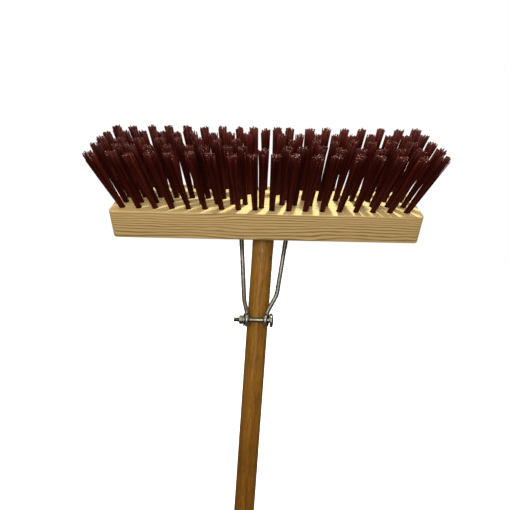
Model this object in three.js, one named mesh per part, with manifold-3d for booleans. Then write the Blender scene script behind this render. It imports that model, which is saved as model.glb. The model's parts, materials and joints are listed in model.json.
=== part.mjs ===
// Push broom, held head up, as an assembly of named solids.
// Millimetres. The handle's axis is +Z, its lower end is at the origin, and the bristles are at the top.
// -Y is the side that the clamp bolt is on, and that the bristle face looks towards.
import * as THREE from "three";
import { mergeVertices } from "three/addons/utils/BufferGeometryUtils.js";
import Module from "manifold-3d";

// ---- Driving dimensions ----

// A gap between pieces that touch on the real broom.
const GAP = 0.35;

// Handle: a round stick with a tapered tip that is driven into the block.
const HANDLE_LENGTH = 1524;
const HANDLE_RADIUS = 15.1;
const HANDLE_END_ROUND = 4;
const TAPER_LENGTH = 40;
const TIP_RADIUS = 12.6;
const SEATED_DEPTH = 31.8;

// Block: u runs along it, v across it, and w out of its bristle face, with the origin in that face's middle.
const BLOCK_LENGTH = 411;
const BLOCK_WIDTH = 92.5;
const BLOCK_THICKNESS = 39.7;
const BLOCK_CORNER = 6;
const BLOCK_EASE = 1.6;
const BLOCK_TILT = THREE.MathUtils.degToRad(29);
const BLOCK_SKEW = THREE.MathUtils.degToRad(2.8);
const SOCKET_U = -0.5;
const SOCKET_V = -9.6;

// Tufts: five rows, of two pitches in turn, fanning out from the middle of the block.
const ROW_V = [-33.3, -16.4, 0.5, 17.4, 34.3];
const ROW_LEAN = [-28, -16, -4.5, 7, 19];
const ROW_SPAN = 375.3;
const ROW_START = -189.8;
const WIDE_ROW_COUNT = 18;
const CLOSE_ROW_COUNT = 19;
const END_LEAN = [20, 24, 24, 23.5, 22];
const TRIM_HEIGHT = 85;
const ROOT_DEPTH = 16;
const ROOT_RADIUS = 3.7;
const TIP_SPREAD = 6.9;
const TUFT_SIDES = 6;
const WEB_LOW = 1.5;
const WEB_HIGH = 5.5;
const WEB_WIDTH = 2;

// Over the handle's socket the middle tufts are moved aside or left out.
const MIDDLE = [
  { row: 0, moved: {}, missing: [] },
  { row: 1, moved: { 8: [-27, -16.4], 9: [-5, -27], 10: [22.6, -16.4] }, missing: [] },
  { row: 2, moved: {}, missing: [8, 9] },
  { row: 3, moved: { 9: [-1, 34.3] }, missing: [] },
  { row: 4, moved: { 8: [-14, 34.3], 9: [12, 34.3] }, missing: [] },
];

// Brace: one round wire, an eye on each side of the handle and a loop round the handle's back.
const WIRE_RADIUS = 2.85;
const WIRE_SIDES = 10;
const BEND_RADIUS = 7;
const LEG_STEPS = 32;
const LOOP_STEPS = 24;
const CLAMP = new THREE.Vector3(-1.5, -20.6, 1362.6);
const EYE_OFFSET = 13.6;
const EYE_RADIUS = 7;
const LOOP_RADIUS = 18.3;
const LOOP_GAP_ANGLE = THREE.MathUtils.degToRad(45);
const EYE_RISE = 8;
const LEG_KNEE = { left: [-20.7, 1387], right: [24.3, 1399] };
const FOOT_U = { left: -32.4, right: 30.4 };
const FOOT_V = -28.5;
const FOOT_REACH = 11;
const TAB_LENGTH = 20;
const TAB_WIDTH = 11;
const TAB_THICKNESS = 2.4;
const TAB_HOLE_RADIUS = 2.5;

// Clamp bolt, washer and nut, along the clamp's own x: the threaded end is on the left.
const SHANK_RADIUS = 3.175;
const SHANK_END = -31.6;
const NECK_START = 16.8;
const NECK_END = 20;
const NECK_SIDE = 6.4;
const DOME_RADIUS = 9.75;
const DOME_RIM = 0.9;
const DOME_TOP = 23.5;
const WASHER_RADIUS = 9;
const WASHER_HOLE = 3.6;
const WASHER_THICKNESS = 1.6;
const NUT_ACROSS_FLATS = 11.1;
const NUT_HOLE = 3.5;
const NUT_THICKNESS = 5.5;

// Foot screws: round head under the tab, point up in the block.
const SCREW_HEAD_RADIUS = 4.4;
const SCREW_HEAD_HEIGHT = 2.8;
const SCREW_RADIUS = 2;
const SCREW_LENGTH = 16;
const SCREW_POINT = 4;

// ---- Solids ----

const wasm = await Module();
wasm.setup();

function solid(geometry, matrix = new THREE.Matrix4()) {
  const bare = geometry.clone().applyMatrix4(matrix);
  bare.deleteAttribute("normal");
  bare.deleteAttribute("uv");
  const merged = mergeVertices(bare, 1e-4);
  return new wasm.Manifold(
    new wasm.Mesh({
      numProp: 3,
      vertProperties: merged.attributes.position.array,
      triVerts: new Uint32Array(merged.index.array),
    }),
  );
}

function geometryOf(made) {
  const mesh = made.getMesh();
  const geometry = new THREE.BufferGeometry();
  geometry.setAttribute("position", new THREE.BufferAttribute(mesh.vertProperties, mesh.numProp));
  geometry.setIndex(new THREE.BufferAttribute(mesh.triVerts, 1));
  geometry.computeVertexNormals();
  return geometry;
}

function lathe(profile, sides) {
  const points = profile.map(([r, z]) => new THREE.Vector2(r, z));
  return new THREE.LatheGeometry(points, sides).rotateX(Math.PI / 2);
}

function circle(radius, sides) {
  const points = [];
  for (let i = 0; i < sides; i++) {
    const turn = (2 * Math.PI * i) / sides;
    points.push(new THREE.Vector2(radius * Math.cos(turn), radius * Math.sin(turn)));
  }
  return points;
}

// A washer-like plate: an outline with one round hole, extruded along +Z.
function plate(outline, holeRadius, holeAt, thickness) {
  const shape = new THREE.Shape(outline);
  const hole = circle(holeRadius, 20).map((p) => p.add(holeAt));
  shape.holes.push(new THREE.Path(hole));
  return new THREE.ExtrudeGeometry(shape, { depth: thickness, bevelEnabled: false });
}

function wire(path, steps) {
  return new THREE.ExtrudeGeometry(new THREE.Shape(circle(WIRE_RADIUS, WIRE_SIDES)), {
    steps,
    extrudePath: path,
    bevelEnabled: false,
  });
}

// Straight runs through the points, with a round bend at each inner one.
function bentPath(points, bend) {
  const path = new THREE.CurvePath();
  let from = points[0];
  for (let i = 1; i < points.length - 1; i++) {
    const corner = points[i];
    const room = 0.45 * Math.min(corner.distanceTo(points[i - 1]), corner.distanceTo(points[i + 1]));
    const reach = Math.min(bend, room);
    const back = points[i - 1].clone().sub(corner).setLength(reach).add(corner);
    const ahead = points[i + 1].clone().sub(corner).setLength(reach).add(corner);
    path.add(new THREE.LineCurve3(from, back));
    path.add(new THREE.QuadraticBezierCurve3(back, corner, ahead));
    from = ahead;
  }
  path.add(new THREE.LineCurve3(from, points[points.length - 1]));
  return path;
}

// ---- Frames ----

const socketMouth = new THREE.Vector3(0, 0, HANDLE_LENGTH - SEATED_DEPTH);
const skew = new THREE.Matrix4().makeRotationY(-BLOCK_SKEW);
const blockTurn = skew.clone().multiply(new THREE.Matrix4().makeRotationX(BLOCK_TILT));
const mouthOnBlock = new THREE.Vector3(SOCKET_U, SOCKET_V, -BLOCK_THICKNESS);
const blockOrigin = socketMouth.clone().sub(mouthOnBlock.applyMatrix4(blockTurn));
const blockMatrix = blockTurn.clone().setPosition(blockOrigin);
const blockInverse = blockMatrix.clone().invert();
const clampMatrix = skew.clone().setPosition(CLAMP);

function onBlock(u, v, w) {
  return new THREE.Vector3(u, v, w).applyMatrix4(blockMatrix);
}

// ---- Materials ----

function finish(color, roughness, metalness) {
  return new THREE.MeshStandardMaterial({ color, roughness, metalness });
}

const stainedWood = () => finish(0x8a5f2a, 0.5, 0);
const paleWood = () => finish(0xd9bf85, 0.65, 0);
const filament = () => finish(0x34110e, 0.5, 0);
const zincSteel = () => finish(0x9a9b95, 0.4, 0.9);

// ---- Pieces ----

const broom = new THREE.Group();
const blockGroup = new THREE.Group();
blockGroup.applyMatrix4(blockMatrix);
const clampGroup = new THREE.Group();
clampGroup.applyMatrix4(clampMatrix);
broom.add(blockGroup, clampGroup);

function piece(group, name, geometry, material) {
  const mesh = new THREE.Mesh(geometry, material);
  mesh.name = name;
  group.add(mesh);
}

function handle() {
  const taperStart = HANDLE_LENGTH - TAPER_LENGTH;
  const ease = 1;
  const outline = [
    [0, 0],
    [HANDLE_RADIUS - HANDLE_END_ROUND, 0],
    [HANDLE_RADIUS - 0.3 * HANDLE_END_ROUND, 0.3 * HANDLE_END_ROUND],
    [HANDLE_RADIUS, HANDLE_END_ROUND],
    [HANDLE_RADIUS, taperStart],
    [TIP_RADIUS, HANDLE_LENGTH - ease],
    [TIP_RADIUS - ease, HANDLE_LENGTH],
    [0, HANDLE_LENGTH],
  ];
  piece(broom, "handle", lathe(outline, 32), stainedWood());
}

function socketCutter() {
  const clear = 20;
  const outline = [
    [0, HANDLE_LENGTH - TAPER_LENGTH - clear],
    [HANDLE_RADIUS + GAP, HANDLE_LENGTH - TAPER_LENGTH - clear],
    [HANDLE_RADIUS + GAP, HANDLE_LENGTH - TAPER_LENGTH],
    [TIP_RADIUS + GAP, HANDLE_LENGTH + GAP],
    [0, HANDLE_LENGTH + GAP],
  ];
  return solid(lathe(outline, 32), blockInverse);
}

// Each tuft is given by where it stands on the face and how far it leans at its tip.
function tuftRows() {
  return MIDDLE.map(({ row, moved, missing }) => {
    const count = row % 2 ? CLOSE_ROW_COUNT : WIDE_ROW_COUNT;
    const tufts = [];
    for (let i = 0; i < count; i++) {
      if (missing.includes(i)) continue;
      const even = [ROW_START + (ROW_SPAN * i) / (count - 1), ROW_V[row]];
      const [u, v] = moved[i] ?? even;
      tufts.push({ u, v, leanU: (END_LEAN[row] * u) / -ROW_START, leanV: ROW_LEAN[row] });
    }
    return tufts;
  });
}

// A leaning six-sided post whose rings all lie parallel to the bristle face.
function leaningPost(tuft, rings) {
  const positions = [];
  const faces = [];
  rings.forEach(({ w, radius }) => {
    const share = w / TRIM_HEIGHT;
    circle(radius, TUFT_SIDES).forEach((p) => {
      positions.push(tuft.u + tuft.leanU * share + p.x, tuft.v + tuft.leanV * share + p.y, w);
    });
  });
  for (let ring = 0; ring < rings.length - 1; ring++) {
    for (let i = 0; i < TUFT_SIDES; i++) {
      const a = ring * TUFT_SIDES + i;
      const b = ring * TUFT_SIDES + ((i + 1) % TUFT_SIDES);
      faces.push(a, b, b + TUFT_SIDES, a, b + TUFT_SIDES, a + TUFT_SIDES);
    }
  }
  const top = (rings.length - 1) * TUFT_SIDES;
  for (let i = 1; i < TUFT_SIDES - 1; i++) {
    faces.push(0, i + 1, i, top, top + i, top + i + 1);
  }
  const geometry = new THREE.BufferGeometry();
  geometry.setAttribute("position", new THREE.Float32BufferAttribute(positions, 3));
  geometry.setIndex(faces);
  return solid(geometry);
}

function tuftSolid(tuft) {
  return leaningPost(tuft, [
    { w: GAP - ROOT_DEPTH, radius: ROOT_RADIUS },
    { w: 0, radius: ROOT_RADIUS },
    { w: TRIM_HEIGHT, radius: TIP_SPREAD },
  ]);
}

function tuftHole(tuft) {
  return leaningPost(tuft, [
    { w: -ROOT_DEPTH, radius: ROOT_RADIUS + GAP },
    { w: BLOCK_EASE, radius: ROOT_RADIUS + GAP },
  ]);
}

// Two neighbouring tufts are one solid, joined by a low web between them.
function tuftPair(first, second) {
  const low = (WEB_LOW + WEB_HIGH) / 2;
  const share = low / TRIM_HEIGHT;
  const start = new THREE.Vector2(first.u + first.leanU * share, first.v + first.leanV * share);
  const end = new THREE.Vector2(second.u + second.leanU * share, second.v + second.leanV * share);
  const along = end.clone().sub(start);
  const web = new THREE.BoxGeometry(along.length(), WEB_WIDTH, WEB_HIGH - WEB_LOW);
  web.rotateZ(along.angle());
  web.translate((start.x + end.x) / 2, (start.y + end.y) / 2, low);
  return tuftSolid(first).add(tuftSolid(second)).add(solid(web));
}

function tufts(rows) {
  rows.forEach((row, r) => {
    let made = 0;
    let i = 0;
    while (i < row.length) {
      const [first, second] = [row[i], row[i + 1]];
      const sameLine = second && first.v === second.v && second.u - first.u < 25;
      made += 1;
      const name = `tufts_row${r + 1}_${String(made).padStart(2, "0")}`;
      const shape = sameLine ? tuftPair(first, second) : tuftSolid(first);
      piece(blockGroup, name, geometryOf(shape), filament());
      i += sameLine ? 2 : 1;
    }
  });
}

function screwU(side) {
  const out = Math.sign(FOOT_U[side]);
  return FOOT_U[side] + out * (FOOT_REACH + TAB_LENGTH / 2);
}

function block(rows) {
  const halfU = BLOCK_LENGTH / 2;
  const halfV = BLOCK_WIDTH / 2;
  const inner = BLOCK_CORNER;
  const outline = new THREE.Shape();
  outline.absarc(halfU - inner, halfV - inner, inner, 0, Math.PI / 2);
  outline.absarc(inner - halfU, halfV - inner, inner, Math.PI / 2, Math.PI);
  outline.absarc(inner - halfU, inner - halfV, inner, Math.PI, 1.5 * Math.PI);
  outline.absarc(halfU - inner, inner - halfV, inner, 1.5 * Math.PI, 2 * Math.PI);
  const board = new THREE.ExtrudeGeometry(outline, {
    depth: BLOCK_THICKNESS - 2 * BLOCK_EASE,
    bevelThickness: BLOCK_EASE,
    bevelSize: BLOCK_EASE,
    bevelOffset: -BLOCK_EASE,
    bevelSegments: 2,
    curveSegments: 5,
  });
  board.translate(0, 0, BLOCK_EASE - BLOCK_THICKNESS);
  let shape = solid(board).subtract(socketCutter());
  rows.flat().forEach((tuft) => {
    shape = shape.subtract(tuftHole(tuft));
  });
  ["left", "right"].forEach((side) => {
    const pilot = lathe(
      [
        [0, -BLOCK_THICKNESS - 1],
        [SCREW_RADIUS + GAP, -BLOCK_THICKNESS - 1],
        [SCREW_RADIUS + GAP, SCREW_LENGTH - BLOCK_THICKNESS],
        [0, SCREW_LENGTH - BLOCK_THICKNESS],
      ],
      12,
    );
    pilot.translate(screwU(side), FOOT_V, 0);
    shape = shape.subtract(solid(pilot));
  });
  piece(blockGroup, "block", geometryOf(shape), paleWood());
}

function footTab(side) {
  const out = Math.sign(FOOT_U[side]);
  const half = TAB_WIDTH / 2;
  const outline = new THREE.Shape();
  outline.moveTo(0, -half);
  outline.lineTo(TAB_LENGTH - half, -half);
  outline.absarc(TAB_LENGTH - half, 0, half, -Math.PI / 2, Math.PI / 2);
  outline.lineTo(0, half);
  const rim = outline.getPoints(6);
  const hole = new THREE.Vector2(TAB_LENGTH / 2, 0);
  const tab = plate(rim, TAB_HOLE_RADIUS, hole, TAB_THICKNESS);
  tab.rotateZ(out > 0 ? 0 : Math.PI);
  tab.translate(FOOT_U[side] + out * FOOT_REACH, FOOT_V, -BLOCK_THICKNESS - GAP - TAB_THICKNESS);
  return solid(tab, blockMatrix);
}

function braceSide(side) {
  const out = Math.sign(FOOT_U[side]);
  const eye = new THREE.TorusGeometry(EYE_RADIUS, WIRE_RADIUS, WIRE_SIDES, 24);
  eye.rotateY(Math.PI / 2);
  eye.translate(out * EYE_OFFSET, 0, 0);
  const start = new THREE.Vector3(out * EYE_OFFSET, EYE_RADIUS, 0).applyMatrix4(clampMatrix);
  const [kneeX, kneeZ] = LEG_KNEE[side];
  const footW = -BLOCK_THICKNESS - GAP - WIRE_RADIUS;
  const heel = onBlock(FOOT_U[side], FOOT_V, footW);
  const toe = onBlock(FOOT_U[side] + out * (FOOT_REACH + 4), FOOT_V, footW);
  const rise = (kneeZ - start.z) / (heel.z - start.z);
  const knee = new THREE.Vector3(kneeX, THREE.MathUtils.lerp(start.y, heel.y, rise), kneeZ);
  const rising = new THREE.Vector3(out * EYE_OFFSET, EYE_RADIUS, EYE_RISE).applyMatrix4(clampMatrix);
  const leg = wire(bentPath([start, rising, knee, heel, toe], BEND_RADIUS), LEG_STEPS);
  return solid(eye, clampMatrix).add(solid(leg)).add(footTab(side));
}

// The loop lies in the clamp's plane and is centred on the handle's axis.
class BackLoop extends THREE.Curve {
  getPoint(t, target = new THREE.Vector3()) {
    const turn = THREE.MathUtils.lerp(-LOOP_GAP_ANGLE, Math.PI + LOOP_GAP_ANGLE, t);
    const x = LOOP_RADIUS * Math.cos(turn) - CLAMP.x;
    return target.set(x, LOOP_RADIUS * Math.sin(turn) - CLAMP.y, 0);
  }
}

function brace() {
  const loop = solid(wire(new BackLoop(), LOOP_STEPS), clampMatrix);
  const shape = braceSide("left").add(braceSide("right")).add(loop);
  piece(broom, "brace", geometryOf(shape), zincSteel());
}

function clampBolt() {
  const shank = new THREE.CylinderGeometry(SHANK_RADIUS, SHANK_RADIUS, NECK_END - SHANK_END, 20);
  shank.rotateZ(Math.PI / 2);
  shank.translate((NECK_END + SHANK_END) / 2, 0, 0);
  const neck = new THREE.BoxGeometry(NECK_END - NECK_START, NECK_SIDE, NECK_SIDE);
  neck.translate((NECK_END + NECK_START) / 2, 0, 0);
  const rise = DOME_TOP - NECK_END - DOME_RIM;
  const outline = [[0, -0.5], [DOME_RADIUS, -0.5], [DOME_RADIUS, DOME_RIM]];
  for (let step = 1; step <= 4; step++) {
    const turn = (Math.PI / 2) * (step / 4);
    outline.push([DOME_RADIUS * Math.cos(turn), DOME_RIM + rise * Math.sin(turn)]);
  }
  outline[outline.length - 1][0] = 0;
  const dome = lathe(outline, 28).rotateY(Math.PI / 2);
  dome.translate(NECK_END, 0, 0);
  const shape = solid(shank).add(solid(neck)).add(solid(dome));
  piece(clampGroup, "clamp_bolt", geometryOf(shape), zincSteel());
}

function clampWasherAndNut() {
  const centre = new THREE.Vector2(0, 0);
  const washer = plate(circle(WASHER_RADIUS, 32), WASHER_HOLE, centre, WASHER_THICKNESS);
  const washerFace = -(EYE_OFFSET + WIRE_RADIUS + GAP);
  washer.rotateY(-Math.PI / 2);
  washer.translate(washerFace, 0, 0);
  piece(clampGroup, "clamp_washer", geometryOf(solid(washer)), zincSteel());
  const corner = NUT_ACROSS_FLATS / 2 / Math.cos(Math.PI / 6);
  const nut = plate(circle(corner, 6), NUT_HOLE, centre, NUT_THICKNESS);
  nut.rotateY(-Math.PI / 2);
  nut.translate(washerFace - WASHER_THICKNESS - GAP, 0, 0);
  piece(clampGroup, "clamp_nut", geometryOf(solid(nut)), zincSteel());
}

function footScrews() {
  const under = -BLOCK_THICKNESS - 2 * GAP - TAB_THICKNESS;
  const tip = SCREW_LENGTH - BLOCK_THICKNESS - 1;
  const outline = [
    [0, under - SCREW_HEAD_HEIGHT],
    [0.6 * SCREW_HEAD_RADIUS, under - 0.85 * SCREW_HEAD_HEIGHT],
    [SCREW_HEAD_RADIUS, under - 0.3 * SCREW_HEAD_HEIGHT],
    [SCREW_HEAD_RADIUS, under],
    [SCREW_RADIUS, under],
    [SCREW_RADIUS, tip - SCREW_POINT],
    [0, tip],
  ];
  ["left", "right"].forEach((side) => {
    const screw = lathe(outline, 16);
    screw.translate(screwU(side), FOOT_V, 0);
    piece(blockGroup, `foot_screw_${side}`, geometryOf(solid(screw)), zincSteel());
  });
}

const rows = tuftRows();
handle();
block(rows);
tufts(rows);
brace();
clampBolt();
clampWasherAndNut();
footScrews();

export default broom;
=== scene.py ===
import json
import math
import random

import bmesh
import bpy
from mathutils import Matrix, Vector


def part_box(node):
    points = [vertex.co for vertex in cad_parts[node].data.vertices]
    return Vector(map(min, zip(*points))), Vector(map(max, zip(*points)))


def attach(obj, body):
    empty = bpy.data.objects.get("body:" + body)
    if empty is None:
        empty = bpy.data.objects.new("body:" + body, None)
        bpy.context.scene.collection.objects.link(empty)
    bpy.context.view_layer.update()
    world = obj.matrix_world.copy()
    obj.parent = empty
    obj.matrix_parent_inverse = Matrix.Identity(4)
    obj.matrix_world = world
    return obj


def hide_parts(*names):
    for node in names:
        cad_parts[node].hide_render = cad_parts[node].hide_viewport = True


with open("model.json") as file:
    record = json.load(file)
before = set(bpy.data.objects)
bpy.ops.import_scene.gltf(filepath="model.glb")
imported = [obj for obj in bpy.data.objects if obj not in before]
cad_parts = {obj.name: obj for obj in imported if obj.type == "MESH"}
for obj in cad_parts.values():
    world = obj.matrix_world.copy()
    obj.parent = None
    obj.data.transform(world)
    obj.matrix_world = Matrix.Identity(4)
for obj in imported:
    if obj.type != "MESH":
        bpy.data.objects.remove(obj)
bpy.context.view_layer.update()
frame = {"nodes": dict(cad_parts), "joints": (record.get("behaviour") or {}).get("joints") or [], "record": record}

MM = 0.001
# Left between pieces that touch on the real broom.
GAP = 0.35 * MM

# ---- Frames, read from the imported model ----

MOUNTS = {m["name"]: m for m in frame["record"]["mounts"]}
JOINTS = {j["name"]: j for j in frame["joints"]}

# The block's own frame: u along it, v across it, w out of the bristle face, origin in that face's middle.
BLOCK_SIZE = Vector((411, 92.5, 39.7)) * MM
W_AXIS = -Vector(MOUNTS["block_back"]["axis"]).normalized()
V_AXIS = Vector(MOUNTS["block_edge"]["axis"]).normalized()
U_AXIS = V_AXIS.cross(W_AXIS).normalized()
EDGE_MIDDLE = Vector(MOUNTS["block_edge"]["pos_m"])
BLOCK_ORIGIN = EDGE_MIDDLE - V_AXIS * BLOCK_SIZE.y / 2 + W_AXIS * BLOCK_SIZE.z / 2
BLOCK = Matrix.Translation(BLOCK_ORIGIN) @ Matrix((U_AXIS, V_AXIS, W_AXIS)).transposed().to_4x4()

# The clamp's frame: x along the bolt, towards its head, and z up the handle.
CLAMP_ORIGIN = Vector(JOINTS["nut_turn"]["pos_m"])
CLAMP_Z = U_AXIS.cross(Vector((0, 1, 0))).normalized()
CLAMP_Y = CLAMP_Z.cross(U_AXIS)
CLAMP = Matrix.Translation(CLAMP_ORIGIN) @ Matrix((U_AXIS, CLAMP_Y, CLAMP_Z)).transposed().to_4x4()

HANDLE_LOW, HANDLE_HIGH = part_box("handle")
HANDLE_RADIUS = (HANDLE_HIGH.x - HANDLE_LOW.x) / 2
HANDLE_LENGTH = HANDLE_HIGH.z - HANDLE_LOW.z
PLAIN = Matrix.Identity(4)

# ---- Camera, floor and light ----

CAMERA_AT = Vector((-0.00065, -0.5625, 1.49095))
CAMERA_DOWN = math.radians(3.98)
CAMERA_TURN = math.radians(0.99)
CAMERA_ROLL = math.radians(4.01)
LENS = 27.76
SENSOR_WIDTH = 36

WARM_WHITE = (1, 0.97, 0.92)
# Strength of the room's light, from below and from overhead.
ROOM_LOW = 0.14
ROOM_HIGH = 1.15


def make_camera():
    data = bpy.data.cameras.new("camera")
    data.lens = LENS
    data.sensor_width = SENSOR_WIDTH
    data.clip_start = 0.01
    camera = bpy.data.objects.new("camera", data)
    bpy.context.scene.collection.objects.link(camera)
    turn = Matrix.Rotation(CAMERA_TURN, 4, "Z")
    tip = Matrix.Rotation(math.pi / 2 - CAMERA_DOWN, 4, "X")
    roll = Matrix.Rotation(CAMERA_ROLL, 4, "Z")
    camera.matrix_world = Matrix.Translation(CAMERA_AT) @ turn @ tip @ roll
    bpy.context.scene.camera = camera


def make_stage():
    bm = bmesh.new()
    bmesh.ops.create_grid(bm, x_segments=1, y_segments=1, size=30)
    floor = mesh_object("floor", bm, PLAIN)
    floor.data.materials.append(principled("floor_white", (0.93, 0.93, 0.93), 0.9))
    floor.visible_diffuse = False
    floor.visible_glossy = False
    return floor


def aimed(name, data, at, aim):
    lamp = bpy.data.objects.new(name, data)
    bpy.context.scene.collection.objects.link(lamp)
    lamp.matrix_world = Matrix.Translation(at) @ (aim - at).to_track_quat("-Z", "Y").to_matrix().to_4x4()
    return lamp


def area_light(name, at, aim, size, power, colour):
    data = bpy.data.lights.new(name, "AREA")
    data.shape = "DISK"
    data.size = size
    data.energy = power
    data.color = colour
    aimed(name, data, at, aim)


def floor_light(floor):
    """A sun for the floor alone, which keeps it white."""
    data = bpy.data.lights.new("floor_sun", "SUN")
    data.energy = 3.2
    data.angle = math.radians(12)
    sun = aimed("floor_sun", data, Vector((0, 0, 4)), Vector((0, 0, 0)))
    lit = bpy.data.collections.new("floor_only")
    lit.objects.link(floor)
    sun.light_linking.receiver_collection = lit


def make_world():
    """White to the camera; to the broom a dim room that is brighter overhead."""
    world = bpy.data.worlds.new("studio")
    world.use_nodes = True
    tree = world.node_tree
    room = tree.nodes["Background"]
    white = tree.nodes.new("ShaderNodeBackground")
    white.inputs["Color"].default_value = (1, 1, 1, 1)
    place = tree.nodes.new("ShaderNodeTexCoord")
    split = tree.nodes.new("ShaderNodeSeparateXYZ")
    brightness = tree.nodes.new("ShaderNodeMapRange")
    brightness.inputs["From Min"].default_value = -0.1
    brightness.inputs["From Max"].default_value = 0.9
    brightness.inputs["To Min"].default_value = ROOM_LOW
    brightness.inputs["To Max"].default_value = ROOM_HIGH
    seen = tree.nodes.new("ShaderNodeLightPath")
    pick = tree.nodes.new("ShaderNodeMixShader")
    tree.links.new(place.outputs["Generated"], split.inputs[0])
    tree.links.new(split.outputs["Z"], brightness.inputs["Value"])
    tree.links.new(brightness.outputs["Result"], room.inputs["Strength"])
    tree.links.new(seen.outputs["Is Camera Ray"], pick.inputs[0])
    tree.links.new(room.outputs[0], pick.inputs[1])
    tree.links.new(white.outputs[0], pick.inputs[2])
    tree.links.new(pick.outputs[0], tree.nodes["World Output"].inputs["Surface"])
    room.inputs["Color"].default_value = (*WARM_WHITE, 1)
    bpy.context.scene.world = world


def make_light(floor):
    make_world()
    floor_light(floor)
    key = BLOCK @ Vector((0.15, 0.13, 0.6))
    area_light("key", key, BLOCK_ORIGIN, size=0.06, power=6.1, colour=(0.88, 1, 0.93))
    front = Vector((-0.15, -1.3, 1.72))
    area_light("front", front, BLOCK_ORIGIN, size=0.9, power=12, colour=WARM_WHITE)
    bpy.context.scene.view_settings.view_transform = "Standard"


# ---- Mesh helpers ----


def mesh_object(name, bm, matrix):
    mesh = bpy.data.meshes.new(name)
    bmesh.ops.recalc_face_normals(bm, faces=bm.faces)
    bm.to_mesh(mesh)
    bm.free()
    made = bpy.data.objects.new(name, mesh)
    bpy.context.scene.collection.objects.link(made)
    made.matrix_world = matrix
    return made


def smooth(made, angle=35):
    for face in made.data.polygons:
        face.use_smooth = True
    made.data.set_sharp_from_angle(angle=math.radians(angle))


def ring_faces(bm, low, high):
    count = len(low)
    for i in range(count):
        bm.faces.new((low[i], low[(i + 1) % count], high[(i + 1) % count], high[i]))


def stack(rings):
    """A closed skin over rings of points, each with as many points as the first."""
    bm = bmesh.new()
    made = [[bm.verts.new(p) for p in ring] for ring in rings]
    for low, high in zip(made, made[1:]):
        ring_faces(bm, low, high)
    bm.faces.new(reversed(made[0]))
    bm.faces.new(made[-1])
    return bm


def lathe(profile, sides, axis="Z"):
    """A closed solid of revolution.

    The profile is (radius, height) pairs in metres, and its ends aren't on the axis.
    """
    rings = []
    for radius, height in profile:
        ring = []
        for i in range(sides):
            turn = 2 * math.pi * i / sides
            x, y = radius * math.cos(turn), radius * math.sin(turn)
            ring.append((x, y, height) if axis == "Z" else (height, x, y))
        rings.append(ring)
    return stack(rings)


def threaded(profile, sides, pitch, depth, start, end):
    """A solid of revolution along X whose surface between start and end is cut by a helical thread."""
    rings = []
    for radius, height in profile:
        ring = []
        for i in range(sides):
            turn = 2 * math.pi * i / sides
            r = radius
            if start <= height <= end:
                phase = (height / pitch - i / sides) % 1
                fade = min(1, (height - start) / pitch, (end - height) / pitch)
                r -= depth * fade * (1 - abs(2 * phase - 1))
            ring.append((height, r * math.cos(turn), r * math.sin(turn)))
        rings.append(ring)
    return stack(rings)


def arc(centre, radius, start, end, steps):
    points = []
    for i in range(steps + 1):
        turn = math.radians(start + (end - start) * i / steps)
        points.append((centre[0] + radius * math.cos(turn), centre[1] + radius * math.sin(turn)))
    return points


def apply_modifiers(made):
    bpy.context.view_layer.update()
    graph = bpy.context.evaluated_depsgraph_get()
    mesh = bpy.data.meshes.new_from_object(made.evaluated_get(graph))
    made.modifiers.clear()
    made.data = mesh


def boolean(made, cutter, operation):
    step = made.modifiers.new("boolean", "BOOLEAN")
    step.operation = operation
    step.solver = "EXACT"
    step.object = cutter
    apply_modifiers(made)
    bpy.data.objects.remove(cutter)


def tube(points, sections, sides):
    """A closed tube through the points.

    A section is (half width, half thickness, side), with its width along side.
    """
    rings = []
    count = len(points)
    for i, (point, (half_width, half_thick, side)) in enumerate(zip(points, sections)):
        ahead = (points[min(i + 1, count - 1)] - points[max(i - 1, 0)]).normalized()
        across = (side - ahead * side.dot(ahead)).normalized()
        over = ahead.cross(across)
        ring = []
        for k in range(sides):
            turn = 2 * math.pi * k / sides
            ring.append(point + across * half_width * math.cos(turn) + over * half_thick * math.sin(turn))
        rings.append(ring)
    return stack(rings)


BEND_STEPS = 10


def bend_points(corners, bend, spacing):
    """Points along straight runs with a round bend at each inner corner."""
    points = [corners[0]]

    def run(end):
        start = points[-1]
        steps = max(1, round((end - start).length / spacing))
        points.extend(start.lerp(end, k / steps) for k in range(1, steps + 1))

    for before, corner, after in zip(corners, corners[1:], corners[2:]):
        room = 0.45 * min((corner - before).length, (after - corner).length)
        reach = min(bend, room)
        back = corner + (before - corner).normalized() * reach
        ahead = corner + (after - corner).normalized() * reach
        run(back)
        for k in range(1, BEND_STEPS + 1):
            t = k / BEND_STEPS
            points.append(back.lerp(corner, t).lerp(corner.lerp(ahead, t), t))
    run(corners[-1])
    return points


# ---- Materials ----


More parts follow.
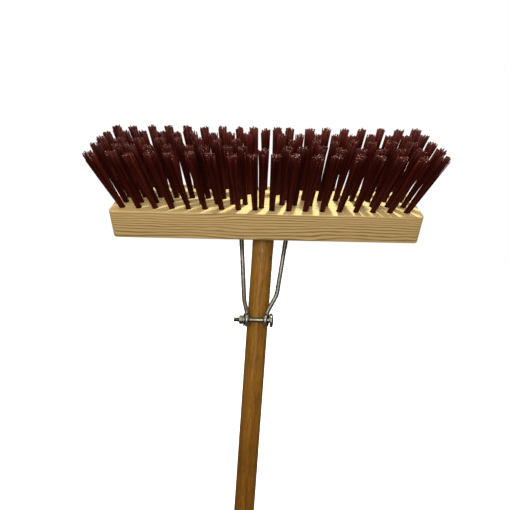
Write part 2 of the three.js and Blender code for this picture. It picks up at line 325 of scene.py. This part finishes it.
class Nodes:
    """A small hand for building one material's node tree."""

    def __init__(self, name):
        self.material = bpy.data.materials.new(name)
        self.material.use_nodes = True
        self.tree = self.material.node_tree
        self.shader = self.tree.nodes["Principled BSDF"]

    def add(self, kind, inputs=None, **settings):
        node = self.tree.nodes.new(kind)
        for key, value in settings.items():
            setattr(node, key, value)
        for key, value in (inputs or {}).items():
            self.feed(node.inputs[key], value)
        return node

    def feed(self, socket, value):
        if isinstance(value, bpy.types.NodeSocket):
            self.tree.links.new(value, socket)
        else:
            socket.default_value = value

    def math(self, operation, a, b=0.0, clamp=False):
        return self.add("ShaderNodeMath", {0: a, 1: b}, operation=operation, use_clamp=clamp).outputs[0]

    def line(self, value, slope, start):
        return self.math("ADD", self.math("MULTIPLY", value, slope), start)

    def height(self):
        """How high a point is in the piece's own frame, in millimetres."""
        return self.add("ShaderNodeSeparateXYZ", {"Vector": self.place((1, 1, 1))}).outputs["Z"]

    def between(self, value, low, high, top=1.0):
        """0 at low, rising evenly to top at high."""
        ends = {"Value": value, "From Min": low, "From Max": high, "To Max": top}
        return self.add("ShaderNodeMapRange", ends).outputs[0]

    def place(self, scale):
        """The piece's own coordinates in millimetres, times scale along each axis."""
        at = self.add("ShaderNodeTexCoord").outputs["Object"]
        return self.add("ShaderNodeMapping", {"Vector": at, "Scale": [s / MM for s in scale]}).outputs[0]

    def noise(self, at, detail, roughness):
        made = self.add(
            "ShaderNodeTexNoise",
            {"Vector": at, "Scale": 1.0, "Detail": detail, "Roughness": roughness},
        )
        return made.outputs["Fac"]

    def ramp(self, value, stops, mode="LINEAR"):
        node = self.add("ShaderNodeValToRGB", {"Fac": value})
        node.color_ramp.interpolation = mode
        elements = node.color_ramp.elements
        while len(elements) < len(stops):
            elements.new(0.5)
        for element, (position, colour) in zip(elements, stops):
            element.position = position
            element.color = (*colour, 1)
        return node.outputs["Color"]

    def mask(self, value, start, end, most, mode="LINEAR"):
        """Black up to start, rising to a grey of strength most at end."""
        return self.ramp(value, [(start, (0, 0, 0)), (end, (most, most, most))], mode)

    def mix(self, factor, a, b, blend="MIX"):
        node = self.add("ShaderNodeMix", data_type="RGBA", blend_type=blend)
        self.feed(node.inputs["Factor"], factor)
        for socket, value in ((node.inputs["A"], a), (node.inputs["B"], b)):
            self.feed(socket, (*value, 1) if isinstance(value, tuple) and len(value) == 3 else value)
        return next(s for s in node.outputs if s.type == "RGBA")

    def bump(self, height, distance, strength):
        """Relief of a height input, with its distance in millimetres."""
        inputs = {"Height": height, "Distance": distance * MM, "Strength": strength}
        made = self.add("ShaderNodeBump", inputs)
        self.feed(self.shader.inputs["Normal"], made.outputs["Normal"])

    def set(self, **values):
        for key, value in values.items():
            self.feed(self.shader.inputs[key.replace("_", " ")], value)
        return self.material


def principled(name, colour, roughness):
    nodes = Nodes(name)
    return nodes.set(Base_Color=(*colour, 1), Roughness=roughness)


def growth_rings(nodes, along, centre, spacing, wander, slope=0.0):
    """Year rings about a wandering pith line along one axis: 0 at the start of a year, 1 at its end."""
    parts = nodes.add("ShaderNodeSeparateXYZ", {"Vector": nodes.place((1, 1, 1))}).outputs
    across = [i for i in range(3) if i != along]
    stretch = [0.007 if i == along else 0.03 for i in range(3)]
    shift = nodes.noise(nodes.place(stretch), 3.0, 0.5)
    shift = nodes.math("MULTIPLY", nodes.math("SUBTRACT", shift, 0.5), wander)
    squares = []
    for axis, middle in zip(across, centre):
        off = nodes.math("SUBTRACT", parts[axis], middle)
        off = nodes.math("ADD", off, nodes.math("MULTIPLY", parts[along], slope))
        squares.append(nodes.math("MULTIPLY", off, off))
    total = nodes.math("SQRT", nodes.math("ADD", *squares))
    total = nodes.math("ADD", total, shift)
    return nodes.math("FRACT", nodes.math("DIVIDE", total, spacing))


def near(nodes, spot, reach):
    """1 at a spot, in the piece's own millimetres, falling to 0 at its reach along each axis."""
    at = nodes.place([1 / r for r in reach])
    middle = [s / r for s, r in zip(spot, reach)]
    away = nodes.add("ShaderNodeVectorMath", {0: at, 1: middle}, operation="DISTANCE").outputs["Value"]
    return nodes.math("SUBTRACT", 1.0, away, clamp=True)


def block_wood():
    nodes = Nodes("pine_block")
    year = growth_rings(nodes, 0, (14.0, -74.0), 2.75, 11.0, 0.012)
    early, mid, late = (0.70, 0.485, 0.21), (0.64, 0.43, 0.175), (0.24, 0.14, 0.042)
    colour = nodes.ramp(year, [(0, early), (0.5, mid), (0.8, late), (0.9, late), (1, early)])
    broad = nodes.noise(nodes.place((0.008, 0.06, 0.06)), 4.0, 0.55)
    calm = nodes.mask(broad, 0.42, 0.68, 0.5)
    colour = nodes.mix(calm, colour, (0.60, 0.40, 0.165))
    planed = nodes.between(nodes.height(), -1.2, 0, 0.6)
    colour = nodes.mix(planed, colour, (0.66, 0.475, 0.215))
    fibre = nodes.noise(nodes.place((0.04, 1.3, 1.3)), 5.0, 0.62)
    streak = nodes.ramp(fibre, [(0.3, (0.78, 0.75, 0.70)), (0.62, (1.08, 1.08, 1.08))])
    colour = nodes.mix(0.8, colour, streak, "MULTIPLY")
    knot = near(nodes, (133.6, -28.2, 0), (5.0, 3.2, 6.0))
    colour = nodes.mix(nodes.mask(knot, 0, 0.7, 0.8), colour, (0.27, 0.22, 0.08))
    height = nodes.math("ADD", nodes.math("MULTIPLY", year, -0.4), nodes.math("MULTIPLY", fibre, 0.9))
    nodes.bump(height, 0.22, 0.6)
    rough = nodes.line(fibre, 0.2, 0.52)
    return nodes.set(Base_Color=colour, Roughness=rough, Specular_IOR_Level=0.35)


# Marks on the handle, in millimetres: a pale knot, two dark flecks and a nick.
# Each has its place, its reach along each axis, its strength and its colour.
HANDLE_MARKS = (
    ((-0.8, -15, 1460), (2.0, 6, 4.5), 0.45, (0.50, 0.30, 0.12)),
    ((-3.0, -15, 1453), (2.4, 6, 6.5), 0.55, (0.15, 0.06, 0.012)),
    ((2.8, -15, 1455), (2.0, 6, 6.0), 0.4, (0.17, 0.07, 0.015)),
    ((12.2, -8.5, 1449.8), (3.0, 4, 4.5), 0.8, (0.09, 0.04, 0.01)),
)


def handle_wood():
    nodes = Nodes("stained_handle")
    year = growth_rings(nodes, 2, (19.0, 27.0), 6.5, 16.0)
    early, mid, late = (0.35, 0.168, 0.017), (0.30, 0.143, 0.013), (0.24, 0.102, 0.008)
    colour = nodes.ramp(year, [(0, early), (0.6, mid), (0.85, late), (1, early)])
    slow = nodes.noise(nodes.place((0.02, 0.02, 0.006)), 3.0, 0.5)
    colour = nodes.mix(nodes.mask(slow, 0.35, 0.65, 0.5), colour, (0.25, 0.112, 0.014))
    # The handle grows darker and browner towards its lower end.
    low = nodes.between(nodes.height(), 1460, 1150)
    colour = nodes.mix(low, colour, (0.62, 0.52, 0.22), "MULTIPLY")
    grain = nodes.noise(nodes.place((0.62, 0.62, 0.03)), 4.0, 0.6)
    streak = nodes.ramp(grain, [(0.36, (0.66, 0.60, 0.50)), (0.60, (1.16, 1.16, 1.14))])
    colour = nodes.mix(0.85, colour, streak, "MULTIPLY")
    dash = nodes.noise(nodes.place((1.4, 1.4, 0.12)), 3.0, 0.55)
    pores = nodes.ramp(dash, [(0.34, (0.62, 0.55, 0.46)), (0.5, (1, 1, 1)), (0.66, (1.22, 1.22, 1.2))])
    colour = nodes.mix(0.8, colour, pores, "MULTIPLY")
    for spot, reach, strength, shade in HANDLE_MARKS:
        mark = nodes.mask(near(nodes, spot, reach), 0, 0.8, strength, "EASE")
        colour = nodes.mix(mark, colour, shade)
    nodes.bump(nodes.math("ADD", grain, dash), 0.12, 0.5)
    rough = nodes.line(grain, 0.22, 0.4)
    return nodes.set(Base_Color=colour, Roughness=rough, Specular_IOR_Level=0.27)


def bristle_side():
    nodes = Nodes("filament_side")
    shade = nodes.add("ShaderNodeAttribute", attribute_name="strand").outputs["Fac"]
    dark, mid, pale = (0.036, 0.0042, 0.0025), (0.062, 0.0072, 0.0045), (0.1, 0.0125, 0.008)
    colour = nodes.ramp(shade, [(0, dark), (0.6, mid), (1, pale)])
    # Painted shade: the filaments darken from 30 mm up to their tips, tempering the key light that falls on their
    # upper parts.
    high = nodes.between(nodes.height(), 30, 85)
    colour = nodes.mix(high, colour, (0.66, 0.58, 0.52), "MULTIPLY")
    scratch = nodes.noise(nodes.place((2.5, 2.5, 0.08)), 4.0, 0.6)
    nodes.bump(scratch, 0.06, 0.5)
    rough = nodes.line(scratch, 0.2, 0.36)
    return nodes.set(Base_Color=colour, Roughness=rough, Specular_IOR_Level=0.06)


def bristle_cut():
    nodes = Nodes("filament_cut")
    shade = nodes.add("ShaderNodeAttribute", attribute_name="strand").outputs["Fac"]
    dark, mid, pale = (0.035, 0.005, 0.004), (0.11, 0.032, 0.024), (0.36, 0.15, 0.12)
    colour = nodes.ramp(shade, [(0.4, dark), (0.8, mid), (1, pale)])
    grain = nodes.noise(nodes.place((3.0, 3.0, 3.0)), 3.0, 0.6)
    nodes.bump(grain, 0.1, 0.6)
    rough = nodes.line(grain, 0.2, 0.5)
    return nodes.set(Base_Color=colour, Roughness=rough, Specular_IOR_Level=0.1)


def steel(name, dark, pale, rough, painted_shade_heights=None):
    """Dull zinc-coated steel: cloudy, finely scratched and a little dirty.

    It can also carry painted shade, darkening it from one height, in millimetres, to full strength at another.
    """
    nodes = Nodes(name)
    cloud = nodes.noise(nodes.place((0.25, 0.25, 0.25)), 5.0, 0.6)
    colour = nodes.ramp(cloud, [(0.3, dark), (0.7, pale)])
    dirt = nodes.noise(nodes.place((0.09, 0.09, 0.09)), 4.0, 0.6)
    colour = nodes.mix(nodes.mask(dirt, 0.45, 0.7, 0.6), colour, (0.30, 0.25, 0.19))
    if painted_shade_heights:
        # Painted shade: the colour darkens from the first height up to the second, standing in for the shade the
        # block casts on the wire's top.
        painted_shade_mask = nodes.between(nodes.height(), *painted_shade_heights)
        colour = nodes.mix(painted_shade_mask, colour, (0.22, 0.20, 0.19), "MULTIPLY")
    scratch = nodes.noise(nodes.place((1.8, 1.8, 1.8)), 6.0, 0.65)
    nodes.bump(scratch, 0.06, 0.4)
    rough = nodes.line(scratch, 0.16, rough)
    return nodes.set(Base_Color=colour, Roughness=rough, Metallic=1.0)


# ---- Handle ----

TAPER_LENGTH = 40 * MM
TIP_RADIUS = 12.6 * MM


def make_handle(material):
    end_round = 4 * MM
    ease = 1 * MM
    straight = HANDLE_LENGTH - TAPER_LENGTH - end_round
    profile = arc((HANDLE_RADIUS - end_round, end_round), end_round, -90, 0, 8)
    steps = 60
    for k in range(1, steps + 1):
        profile.append((HANDLE_RADIUS, end_round + straight * k / steps))
    profile.append((TIP_RADIUS, HANDLE_LENGTH - ease))
    profile += arc((TIP_RADIUS - ease, HANDLE_LENGTH - ease), ease, 0, 90, 4)[1:]
    handle = mesh_object("handle_stick", lathe(profile, 96), PLAIN)
    smooth(handle)
    handle.data.materials.append(material)
    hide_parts("handle")
    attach(handle, "handle")


# ---- Tufts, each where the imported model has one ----

TRIM_HEIGHT = 85 * MM
ROOT_RADIUS = 3.65 * MM
TIP_SPREAD = 6.35 * MM
STRAND_RADIUS = 0.62 * MM
STRANDS = 50
STRAND_SIDES = 7
STRAND_STEPS = 7
HOLE_RADIUS = 4.1 * MM
HOLE_DEPTH = 16 * MM
HOLE_SIDES = 20
GOLDEN = math.pi * (3 - math.sqrt(5))
# At the left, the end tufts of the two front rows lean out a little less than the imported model's.
TUCK_FROM = -155 * MM
TUCK_ROWS = -10 * MM
TUCK = 4.5 * MM


def tuft_lines(node):
    """Each tuft of a CAD tuft node as its centre on the bristle face and its centre at the trim height."""
    to_block = BLOCK.inverted()
    points = [to_block @ v.co for v in frame["nodes"][node].data.vertices]
    tips = [p for p in points if p.z > TRIM_HEIGHT - 1 * MM]
    lowest = min(p.z for p in points)
    roots = [p for p in points if p.z < lowest + 1 * MM]
    single = max(p.x for p in tips) - min(p.x for p in tips) < 3 * TIP_SPREAD
    lines = []
    for right in (False,) if single else (False, True):
        ends = []
        for group in (roots, tips):
            first = min(p.x for p in group)
            last = max(p.x for p in group)
            middle = (first + last) / 2
            chosen = group if single else [p for p in group if (p.x > middle) == right]
            box = [(min(p[i] for p in chosen) + max(p[i] for p in chosen)) / 2 for i in range(3)]
            ends.append(Vector(box))
        root, tip = ends
        face = root.lerp(tip, -root.z / (tip.z - root.z))
        lines.append((face, tip))
    return lines


def strand(bm, layer, points, radius, shade, dice):
    """One filament as a thin closed tube; the far end is a flat cut with its own material."""
    count = len(points)
    rings = []
    turn0 = dice.uniform(0, math.pi)
    for i, point in enumerate(points):
        ahead = (points[min(i + 1, count - 1)] - points[max(i - 1, 0)]).normalized()
        across = ahead.cross(Vector((0.3, 1, 0.1))).normalized()
        over = ahead.cross(across)
        ring = []
        for k in range(STRAND_SIDES):
            turn = turn0 + 2 * math.pi * k / STRAND_SIDES
            vert = bm.verts.new(point + (across * math.cos(turn) + over * math.sin(turn)) * radius)
            vert[layer] = shade
            ring.append(vert)
        rings.append(ring)
    for low, high in zip(rings, rings[1:]):
        for k in range(STRAND_SIDES):
            n = (k + 1) % STRAND_SIDES
            bm.faces.new((low[k], low[n], high[n], high[k])).smooth = True
    bm.faces.new(reversed(rings[0]))
    bm.faces.new(rings[-1]).material_index = 1


def grow_tuft(bm, layer, face, tip, dice):
    tip = tip + Vector((dice.gauss(0, 1.3), dice.gauss(0, 1.2), dice.uniform(-1.4, 0))) * MM
    if face.x < TUCK_FROM and face.y < TUCK_ROWS:
        tip.x += TUCK
    axis = tip - face
    spin = dice.uniform(0, 2 * math.pi)
    for k in range(STRANDS):
        share = ((k + 0.5) / STRANDS) ** 0.45
        turn = spin + k * GOLDEN
        out = Vector((math.cos(turn), math.sin(turn), 0)) * share
        low = face - axis * 0.1 + out * (ROOT_RADIUS - STRAND_RADIUS)
        turn += dice.gauss(0, 0.5)
        out = Vector((math.cos(turn), math.sin(turn), 0)) * share
        spread = TIP_SPREAD * dice.uniform(0.84, 1.02)
        stray = Vector((dice.gauss(0, 0.5), dice.gauss(0, 0.5), 0)) * MM
        high = tip + out * spread + stray
        high.z -= abs(dice.gauss(0, 3.6)) * MM
        bow = Vector((dice.gauss(0, 0.3), dice.gauss(0, 0.3), 0)) * MM
        points = []
        for i in range(STRAND_STEPS):
            t = i / (STRAND_STEPS - 1)
            point = low.lerp(high, t)
            point += out * (spread - ROOT_RADIUS) * (t ** 1.2 - t)
            point += bow * 4 * t * (1 - t)
            points.append(point)
        strand(bm, layer, points, STRAND_RADIUS * dice.uniform(0.9, 1.08), dice.random(), dice)


def make_tufts(side, cut):
    spots = []
    names = sorted(n for n in frame["nodes"] if n.startswith("tufts_"))
    for index, node in enumerate(names):
        dice = random.Random(4100 + index)
        bm = bmesh.new()
        layer = bm.verts.layers.float.new("strand")
        for face, tip in tuft_lines(node):
            spots.append((face, tip))
            grow_tuft(bm, layer, face, tip, dice)
        made = mesh_object(node.replace("tufts", "filaments"), bm, BLOCK)
        made.data.materials.append(side)
        made.data.materials.append(cut)
        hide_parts(node)
        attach(made, "head")
    return spots


# ---- Block ----

PILOT_RADIUS = 2.35 * MM
PILOT_DEPTH = 16 * MM
# A cutter for a foot screw starts this high in the block's frame, well behind the block.
CUT_FROM = -60 * MM


def rounded_outline(half_u, half_v, corner, steps):
    points = []
    for cu, cv, start in ((1, 1, 0), (-1, 1, 90), (-1, -1, 180), (1, -1, 270)):
        centre = (cu * (half_u - corner), cv * (half_v - corner))
        points += arc(centre, corner, start, start + 90, steps)
    return points


def board():
    corner, ease, steps = 6 * MM, 1.6 * MM, 5
    rings = []
    heights = []
    for k in range(steps + 1):
        turn = math.pi / 2 * k / steps
        heights.append((ease * (1 - math.sin(turn)), -BLOCK_SIZE.z + ease * (1 - math.cos(turn))))
    for k in range(steps + 1):
        turn = math.pi / 2 * k / steps
        heights.append((ease * (1 - math.cos(turn)), -ease * (1 - math.sin(turn))))
    for inset, w in heights:
        outline = rounded_outline(BLOCK_SIZE.x / 2 - inset, BLOCK_SIZE.y / 2 - inset, corner - inset, 8)
        rings.append([(x, y, w) for x, y in outline])
    return stack(rings)


def hole_cutter(spots):
    bm = bmesh.new()
    for face, tip in spots:
        axis = (tip - face) / TRIM_HEIGHT
        rings = []
        for depth in (-HOLE_DEPTH, 1 * MM):
            centre = face + axis * depth
            ring = []
            for k in range(HOLE_SIDES):
                turn = 2 * math.pi * k / HOLE_SIDES
                out = Vector((math.cos(turn), math.sin(turn), 0))
                ring.append(bm.verts.new(centre + out * HOLE_RADIUS))
            rings.append(ring)
        ring_faces(bm, *rings)
        bm.faces.new(reversed(rings[0]))
        bm.faces.new(rings[1])
    return bm


def socket_cutter():
    start = HANDLE_LENGTH - TAPER_LENGTH
    profile = [
        (HANDLE_RADIUS + GAP, start - 20 * MM),
        (HANDLE_RADIUS + GAP, start),
        (TIP_RADIUS + GAP, HANDLE_LENGTH + GAP),
    ]
    return lathe(profile, 64)


def make_block(spots, material):
    block = mesh_object("block_board", board(), BLOCK)
    boolean(block, mesh_object("cut", hole_cutter(spots), BLOCK), "DIFFERENCE")
    boolean(block, mesh_object("cut", socket_cutter(), PLAIN), "DIFFERENCE")
    for side in ("left", "right"):
        pilot = lathe([(PILOT_RADIUS, CUT_FROM), (PILOT_RADIUS, PILOT_DEPTH - BLOCK_SIZE.z)], 24)
        boolean(block, mesh_object("cut", pilot, screw_frame(side)), "DIFFERENCE")
    block.data.materials.clear()
    block.data.materials.append(material)
    smooth(block, 30)
    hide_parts("block")
    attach(block, "head")


# ---- Brace ----

WIRE_RADIUS = 2.85 * MM
LEG_RADIUS = 3.15 * MM
EYE_OFFSET = 13.6 * MM
EYE_RADIUS = 7 * MM
EYE_TILT = {"left": 0, "right": math.radians(-13)}
LOOP_RADIUS = 18.3 * MM
TAB_THICKNESS = 2.4 * MM
TAB_HALF_WIDTH = 5.5 * MM
TAB_HOLE_RADIUS = 2.5 * MM
# Where each leg turns towards its foot, as x and z in the part's frame.
KNEE = {"left": (-20.7 * MM, 1387 * MM), "right": (24.3 * MM, 1399 * MM)}
EYE_STEPS = 72
WIRE_SIDES = 24


def screw_frame(side):
    """The block's frame moved along it to where that side's foot screw stands."""
    low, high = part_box(f"foot_screw_{side}")
    at = BLOCK.inverted() @ ((low + high) / 2)
    return BLOCK @ Matrix.Translation((at.x, at.y, 0))


def leg(side):
    out = -1 if side == "left" else 1
    knee_x, knee_z = KNEE[side]
    screw = BLOCK.inverted() @ screw_frame(side).translation
    start = CLAMP @ Vector((out * EYE_OFFSET, EYE_RADIUS, 0))
    rising = CLAMP @ Vector((out * EYE_OFFSET, EYE_RADIUS, 8 * MM))
    heel_u = screw.x - out * 21 * MM
    heel = BLOCK @ Vector((heel_u, screw.y, -BLOCK_SIZE.z - GAP - WIRE_RADIUS))
    toe = BLOCK @ Vector((screw.x + out * 9.2 * MM, screw.y, -BLOCK_SIZE.z - GAP - WIRE_RADIUS))
    knee = Vector((knee_x, 0, knee_z))
    knee.y = start.y + (heel.y - start.y) * (knee.z - start.z) / (heel.z - start.z)
    points = bend_points([start, rising, knee, heel, toe], 5 * MM, 1.0 * MM)
    sections = []
    flat_from = screw.x - out * 15 * MM
    flat_by = screw.x - out * 6 * MM
    centres = []
    for point in points:
        local = BLOCK.inverted() @ point
        t = (local.x - flat_from) * out / abs(flat_by - flat_from)
        near_face = local.z > -BLOCK_SIZE.z - 8 * MM
        t = max(0, min(1, t)) if near_face else 0
        t = t * t * (3 - 2 * t)
        tip = max(0, ((local.x - screw.x) * out - 4.2 * MM) / (5.2 * MM)) if near_face else 0
        tip = min(1, tip)
        half_width = (LEG_RADIUS + (TAB_HALF_WIDTH - LEG_RADIUS) * t) * math.sqrt(max(0.02, 1 - tip * tip))
        half_thick = LEG_RADIUS + (TAB_THICKNESS / 2 - LEG_RADIUS) * t
        centres.append(point + W_AXIS * (WIRE_RADIUS - half_thick))
        sections.append((half_width, half_thick, V_AXIS))
    return tube(centres, sections, 28)


def eye(side):
    out = -1 if side == "left" else 1
    tilt = Matrix.Rotation(EYE_TILT[side], 3, "Z")
    across = tilt @ Vector((1, 0, 0))
    bm = bmesh.new()
    rings = []
    for i in range(EYE_STEPS):
        turn = 2 * math.pi * i / EYE_STEPS
        outward = tilt @ Vector((0, math.cos(turn), math.sin(turn)))
        middle = Vector((out * EYE_OFFSET, 0, 0)) + outward * EYE_RADIUS
        ring = []
        for k in range(WIRE_SIDES):
            round_wire = 2 * math.pi * k / WIRE_SIDES
            out_of_wire = outward * math.cos(round_wire) + across * math.sin(round_wire)
            ring.append(bm.verts.new(middle + out_of_wire * WIRE_RADIUS))
        rings.append(ring)
    for i in range(EYE_STEPS):
        ring_faces(bm, rings[i], rings[(i + 1) % EYE_STEPS])
    return bm


def back_loop():
    centre = CLAMP.inverted() @ Vector((0, 0, CLAMP_ORIGIN.z))
    points = []
    steps = 90
    for i in range(steps + 1):
        turn = math.radians(-45 + 270 * i / steps)
        x = centre.x + LOOP_RADIUS * math.cos(turn)
        y = centre.y + LOOP_RADIUS * math.sin(turn)
        points.append(CLAMP @ Vector((x, y, 0)))
    return tube(points, [(WIRE_RADIUS, WIRE_RADIUS, CLAMP_Z)] * len(points), WIRE_SIDES)


def make_brace(material):
    brace = mesh_object("brace_wire", leg("left"), PLAIN)
    boolean(brace, mesh_object("add", leg("right"), PLAIN), "UNION")
    boolean(brace, mesh_object("add", eye("left"), CLAMP), "UNION")
    boolean(brace, mesh_object("add", eye("right"), CLAMP), "UNION")
    boolean(brace, mesh_object("add", back_loop(), PLAIN), "UNION")
    remesh = brace.modifiers.new("fuse", "REMESH")
    remesh.mode = "VOXEL"
    remesh.voxel_size = 0.4 * MM
    soften = brace.modifiers.new("soften", "SMOOTH")
    soften.iterations = 4
    apply_modifiers(brace)
    for side in ("left", "right"):
        hole = lathe([(TAB_HOLE_RADIUS, CUT_FROM), (TAB_HOLE_RADIUS, -30 * MM)], 32)
        boolean(brace, mesh_object("cut", hole, screw_frame(side)), "DIFFERENCE")
    smooth(brace, 40)
    brace.data.materials.clear()
    brace.data.materials.append(material)
    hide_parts("brace")
    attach(brace, "head")


# ---- Bolt, washer, nut and screws ----

THREAD_PITCH = 1.27 * MM
SHANK_RADIUS = 3.175 * MM
SHANK_END = -31.6 * MM
NECK_START = EYE_OFFSET + WIRE_RADIUS + GAP
NECK_END = 20 * MM
DOME_RADIUS = 9.75 * MM
DOME_TOP = 23.5 * MM
WASHER_BORE = 3.6 * MM
WASHER_RADIUS = 9 * MM
WASHER_THICKNESS = 1.6 * MM
NUT_THICKNESS = 5.5 * MM
NUT_FLATS = 11.1 * MM
NUT_BORE = 3.75 * MM

SCREW_RADIUS = 2 * MM
SCREW_HEAD_RADIUS = 4.4 * MM
SCREW_HEAD_HEIGHT = 2.8 * MM
SCREW_RIM = 0.9 * MM
SCREW_NECK = 1.5 * MM
SCREW_DEPTH = 15 * MM
SCREW_POINT = 4 * MM
SCREW_PITCH = 1.6 * MM
SCREW_THREAD = 0.5 * MM
SCREW_SIDES = 32
SLOT_SIZE = (4.6 * MM, 1.0 * MM, 2.6 * MM)


def make_bolt(material):
    start, end = SHANK_END + 0.4 * MM, -12.5 * MM
    profile = [(SHANK_RADIUS - 0.8 * MM, SHANK_END), (SHANK_RADIUS, SHANK_END + 0.7 * MM)]
    step = THREAD_PITCH / 8
    x = SHANK_END + 0.7 * MM + step
    while x < end + step:
        profile.append((SHANK_RADIUS, x))
        x += step
    profile.append((SHANK_RADIUS, NECK_END))
    bolt = mesh_object("clamp_bolt_steel", threaded(profile, 40, THREAD_PITCH, 0.55 * MM, start, end), CLAMP)
    half = 3.2 * MM
    ease = 0.4 * MM
    neck_rings = []
    for x in (NECK_START, NECK_END + 0.3 * MM):
        inset = ease if x == NECK_START else 0
        outline = rounded_outline(half - inset, half - inset, 0.6 * MM, 3)
        neck_rings.append([(x, a, b) for a, b in outline])
    outline = rounded_outline(half, half, 0.6 * MM, 3)
    neck_rings.insert(1, [(NECK_START + ease, a, b) for a, b in outline])
    boolean(bolt, mesh_object("add", stack(neck_rings), CLAMP), "UNION")
    rise = DOME_TOP - NECK_END - 0.9 * MM
    dome = [(DOME_RADIUS - 1.6 * MM, NECK_END - 1.4 * MM)]
    dome += [(DOME_RADIUS - 0.5 * MM, NECK_END - 1.3 * MM), (DOME_RADIUS, NECK_END - 0.8 * MM)]
    dome.append((DOME_RADIUS, NECK_END + 0.9 * MM))
    for k in range(1, 17):
        turn = math.pi / 2 * k / 16.5
        dome.append((DOME_RADIUS * math.cos(turn), NECK_END + 0.9 * MM + rise * math.sin(turn)))
    boolean(bolt, mesh_object("add", lathe(dome, 72, "X"), CLAMP), "UNION")
    finish_metal(bolt, material, "clamp_bolt", "head")


def finish_metal(made, material, node, body, angle=30):
    smooth(made, angle)
    made.data.materials.clear()
    made.data.materials.append(material)
    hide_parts(node)
    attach(made, body)


def ring_solid(inner, outer, low, high, ease, sides):
    """A flat ring along X with eased outer and inner edges."""
    bm = bmesh.new()
    section = [
        (inner, low + ease), (inner + ease, low), (outer - ease, low), (outer, low + ease),
        (outer, high - ease), (outer - ease, high), (inner + ease, high), (inner, high - ease),
    ]
    rings = []
    for i in range(sides):
        turn = 2 * math.pi * i / sides
        rings.append([bm.verts.new((x, r * math.cos(turn), r * math.sin(turn))) for r, x in section])
    for i in range(sides):
        ring_faces(bm, rings[i], rings[(i + 1) % sides])
    return bm


def make_washer(material):
    face = -(EYE_OFFSET + WIRE_RADIUS + GAP)
    ring = ring_solid(WASHER_BORE, WASHER_RADIUS, face - WASHER_THICKNESS, face, 0.25 * MM, 72)
    washer = mesh_object("clamp_washer_steel", ring, CLAMP)
    finish_metal(washer, material, "clamp_washer", "washer", 25)


def make_nut(material):
    low_face = -(EYE_OFFSET + WIRE_RADIUS + 2 * GAP + WASHER_THICKNESS)
    thick = NUT_THICKNESS
    flats = NUT_FLATS / 2
    corner = flats / math.cos(math.pi / 6)
    rings = []
    for x in (low_face - thick, low_face):
        turns = [k * math.pi / 3 for k in range(6)]
        rings.append([(x, corner * math.cos(turn), corner * math.sin(turn)) for turn in turns])
    nut = mesh_object("clamp_nut_steel", stack(rings), CLAMP)
    bevel = nut.modifiers.new("ease", "BEVEL")
    bevel.width = 0.25 * MM
    bevel.segments = 2
    apply_modifiers(nut)
    slope = 1.0 * MM
    crown = [
        (flats - 0.2 * MM, low_face - thick), (corner + 0.3 * MM, low_face - thick + slope),
        (corner + 0.3 * MM, low_face - slope), (flats - 0.2 * MM, low_face),
    ]
    boolean(nut, mesh_object("crown", lathe(crown, 72, "X"), CLAMP), "INTERSECT")
    x = low_face - thick - 1 * MM
    bore = []
    while x < low_face + 1 * MM:
        bore.append((NUT_BORE, x))
        x += THREAD_PITCH / 8
    cutter = threaded(bore, 40, THREAD_PITCH, 0.35 * MM, low_face - thick - 2 * MM, low_face + 2 * MM)
    boolean(nut, mesh_object("cut", cutter, CLAMP), "DIFFERENCE")
    finish_metal(nut, material, "clamp_nut", "nut")


def screw_profile(under, tip):
    """(radius, height) pairs from the middle of the head, behind the block, to the point in the block."""
    crown = SCREW_HEAD_HEIGHT - SCREW_RIM
    profile = [(0.4 * MM, under - SCREW_HEAD_HEIGHT)]
    for k in range(1, 9):
        turn = math.pi / 2 * k / 8
        profile.append((SCREW_HEAD_RADIUS * math.sin(turn), under - SCREW_RIM - crown * math.cos(turn)))
    profile += [(SCREW_HEAD_RADIUS, under), (SCREW_RADIUS, under)]
    z = under + SCREW_NECK
    while z < tip - SCREW_POINT:
        profile.append((SCREW_RADIUS, z))
        z += 0.2 * MM
    return profile + [(SCREW_RADIUS, tip - SCREW_POINT), (0.2 * MM, tip)]


def screw_skin(under, tip):
    rings = []
    for radius, height in screw_profile(under, tip):
        ring = []
        for i in range(SCREW_SIDES):
            turn = 2 * math.pi * i / SCREW_SIDES
            r = radius
            if under + SCREW_NECK < height < tip - SCREW_POINT:
                phase = (height / SCREW_PITCH - i / SCREW_SIDES) % 1
                r -= SCREW_THREAD * (1 - max(0, 1 - abs(4 * phase - 2)))
            ring.append((r * math.cos(turn), r * math.sin(turn), height))
        rings.append(ring)
    return stack(rings)


def slot_cutter(turn, height):
    bm = bmesh.new()
    bmesh.ops.create_cube(bm, size=1)
    bmesh.ops.scale(bm, vec=SLOT_SIZE, verts=bm.verts)
    bmesh.ops.rotate(bm, matrix=Matrix.Rotation(turn, 3, "Z"), verts=bm.verts)
    bmesh.ops.translate(bm, vec=(0, 0, height), verts=bm.verts)
    return bm


def make_screws(material):
    under = -BLOCK_SIZE.z - 2 * GAP - TAB_THICKNESS
    tip = SCREW_DEPTH - BLOCK_SIZE.z
    for side in ("left", "right"):
        screw = mesh_object(f"foot_screw_{side}_steel", screw_skin(under, tip), screw_frame(side))
        for turn in (0, math.pi / 2):
            cutter = slot_cutter(turn, under - SCREW_HEAD_HEIGHT)
            boolean(screw, mesh_object("cut", cutter, screw_frame(side)), "DIFFERENCE")
        finish_metal(screw, material, f"foot_screw_{side}", "head")


make_camera()
make_light(make_stage())
make_handle(handle_wood())
spots = make_tufts(bristle_side(), bristle_cut())
make_block(spots, block_wood())
# The wire's top, from 1444 mm to 1462 mm, is darkened with painted shade under the block.
make_brace(steel("galvanised_wire", (0.22, 0.21, 0.18), (0.40, 0.39, 0.35), 0.2, (1444, 1462)))
zinc = steel("zinc_hardware", (0.10, 0.108, 0.09), (0.20, 0.21, 0.18), 0.26)
make_bolt(zinc)
make_washer(zinc)
make_nut(zinc)
make_screws(zinc)
